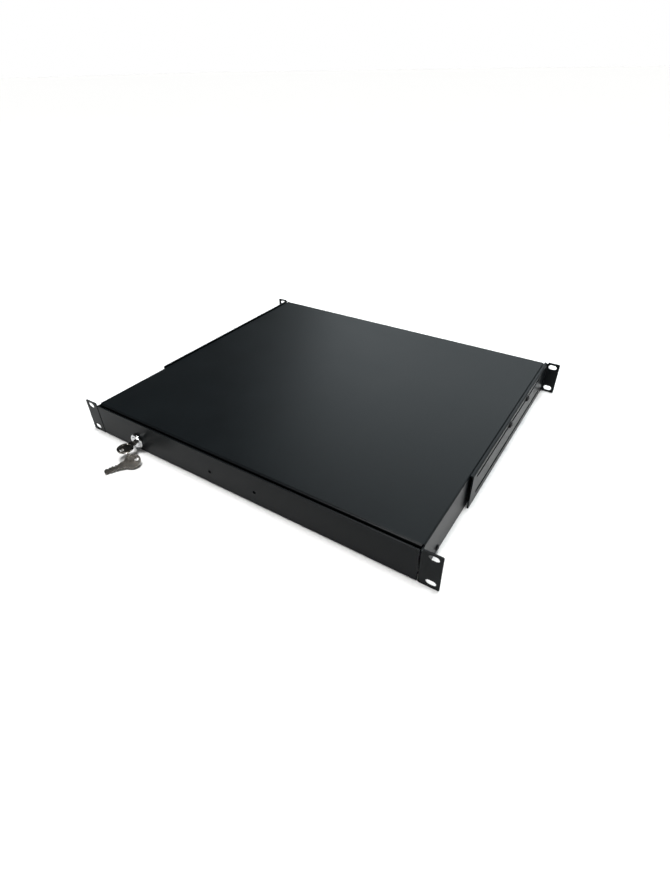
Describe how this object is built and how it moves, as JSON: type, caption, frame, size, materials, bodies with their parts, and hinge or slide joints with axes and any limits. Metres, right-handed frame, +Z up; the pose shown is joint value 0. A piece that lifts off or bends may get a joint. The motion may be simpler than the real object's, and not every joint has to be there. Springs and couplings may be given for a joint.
{
  "type": "lockable rack drawer",
  "caption": "Lockable one-unit rack drawer on ball-bearing slides, with a cam lock, keys on a ring and sliding slotted rear brackets.",
  "frame": {"origin": "on the underside of the bottom pan, midway between the sides and 200 mm behind the front face of the front rack ears", "axes": "+X to the right seen from the front, +Y from the drawer front to the back, +Z up"},
  "size_m": [0.4826, 0.453, 0.0437],
  "materials": {
    "powder_coat": "satin black powder coat on steel sheet",
    "black_oxide": "black zinc screws",
    "zinc": "bright zinc plate",
    "chrome": "polished chrome plate",
    "nickel": "nickel plate on brass"
  },
  "bodies": {
    "chassis": {"case_cover": "powder_coat", "bottom_pan": "powder_coat", "lock_strike": "zinc", "slide_outer_left": "zinc", "slide_outer_right": "zinc", "case_screw_left_1": "black_oxide", "case_screw_left_2": "black_oxide", "case_screw_left_3": "black_oxide", "case_screw_right_1": "black_oxide", "case_screw_right_2": "black_oxide", "case_screw_right_3": "black_oxide", "slide_rivet_left_1": "zinc", "slide_rivet_left_2": "zinc", "slide_rivet_right_1": "zinc", "slide_rivet_right_2": "zinc", "bracket_screw_left_1": "black_oxide", "bracket_screw_left_2": "black_oxide", "bracket_screw_right_1": "black_oxide", "bracket_screw_right_2": "black_oxide", "bracket_spacer_left_1": "zinc", "bracket_spacer_left_2": "zinc", "bracket_spacer_right_1": "zinc", "bracket_spacer_right_2": "zinc"},
    "drawer": {"drawer_tray": "powder_coat", "drawer_front": "powder_coat", "panel_nut_1": "zinc", "panel_nut_2": "zinc", "panel_nut_3": "zinc", "panel_nut_4": "zinc", "slide_inner_left": "zinc", "slide_inner_right": "zinc", "slide_screw_left_1": "zinc", "slide_screw_left_2": "zinc", "slide_screw_right_1": "zinc", "slide_screw_right_2": "zinc", "lock_body": "chrome", "lock_washer": "zinc", "lock_nut": "zinc"},
    "lock_cylinder": {"lock_plug": "chrome", "lock_cam": "zinc", "cam_screw": "zinc"},
    "key": {"lock_key": "nickel"},
    "ring": {"key_ring": "nickel"},
    "second_key": {"spare_key": "nickel"},
    "slide_middle_left": {"slide_middle_left": "zinc"},
    "retainer_outer_left": {"ball_retainer_outer_left": "zinc"},
    "retainer_inner_left": {"ball_retainer_inner_left": "zinc"},
    "rear_bracket_left": {"rear_bracket_left": "powder_coat"},
    "slide_middle_right": {"slide_middle_right": "zinc"},
    "retainer_outer_right": {"ball_retainer_outer_right": "zinc"},
    "retainer_inner_right": {"ball_retainer_inner_right": "zinc"},
    "rear_bracket_right": {"rear_bracket_right": "powder_coat"}
  },
  "joints": [
    {"name": "drawer_slide", "type": "slide", "parent": "chassis", "child": "drawer", "axis": [0, -1, 0], "range_m": [0, 0.34]},
    {"name": "lock_turn", "type": "hinge", "parent": "drawer", "child": "lock_cylinder", "pos_m": [-0.1525, -0.2, 0.0142], "axis": [0, -1, 0], "range_deg": [0, 90]},
    {"name": "key_pull", "type": "slide", "parent": "lock_cylinder", "child": "key", "axis": [0, -1, 0], "range_m": [0, 0.03]},
    {"name": "ring_swing", "type": "hinge", "parent": "key", "child": "ring", "pos_m": [-0.1525, -0.2244, 0.0142], "axis": [0.9993, -0.0386, 0], "range_deg": [-20, 0]},
    {"name": "second_key_swing", "type": "hinge", "parent": "ring", "child": "second_key", "pos_m": [-0.1335, -0.2207, 0.0073], "axis": [0.3796, -0.5105, 0.7715], "range_deg": [-20, 0]},
    {"name": "slide_middle_left_travel", "type": "slide", "parent": "chassis", "child": "slide_middle_left", "axis": [0, -1, 0], "range_m": [0, 0.17]},
    {"name": "retainer_outer_left_travel", "type": "slide", "parent": "chassis", "child": "retainer_outer_left", "axis": [0, -1, 0], "range_m": [0, 0.085]},
    {"name": "retainer_inner_left_travel", "type": "slide", "parent": "chassis", "child": "retainer_inner_left", "axis": [0, -1, 0], "range_m": [0, 0.255]},
    {"name": "rear_bracket_left_adjust", "type": "slide", "parent": "chassis", "child": "rear_bracket_left", "axis": [0, 1, 0], "range_m": [-0.05, 0.1]},
    {"name": "slide_middle_right_travel", "type": "slide", "parent": "chassis", "child": "slide_middle_right", "axis": [0, -1, 0], "range_m": [0, 0.17]},
    {"name": "retainer_outer_right_travel", "type": "slide", "parent": "chassis", "child": "retainer_outer_right", "axis": [0, -1, 0], "range_m": [0, 0.085]},
    {"name": "retainer_inner_right_travel", "type": "slide", "parent": "chassis", "child": "retainer_inner_right", "axis": [0, -1, 0], "range_m": [0, 0.255]},
    {"name": "rear_bracket_right_adjust", "type": "slide", "parent": "chassis", "child": "rear_bracket_right", "axis": [0, 1, 0], "range_m": [-0.05, 0.1]}
  ],
  "couplings": [
    {"joint": "slide_middle_left_travel", "follows": "drawer_slide", "ratio": 0.5},
    {"joint": "retainer_outer_left_travel", "follows": "drawer_slide", "ratio": 0.25},
    {"joint": "retainer_inner_left_travel", "follows": "drawer_slide", "ratio": 0.75},
    {"joint": "slide_middle_right_travel", "follows": "drawer_slide", "ratio": 0.5},
    {"joint": "retainer_outer_right_travel", "follows": "drawer_slide", "ratio": 0.25},
    {"joint": "retainer_inner_right_travel", "follows": "drawer_slide", "ratio": 0.75}
  ]
}
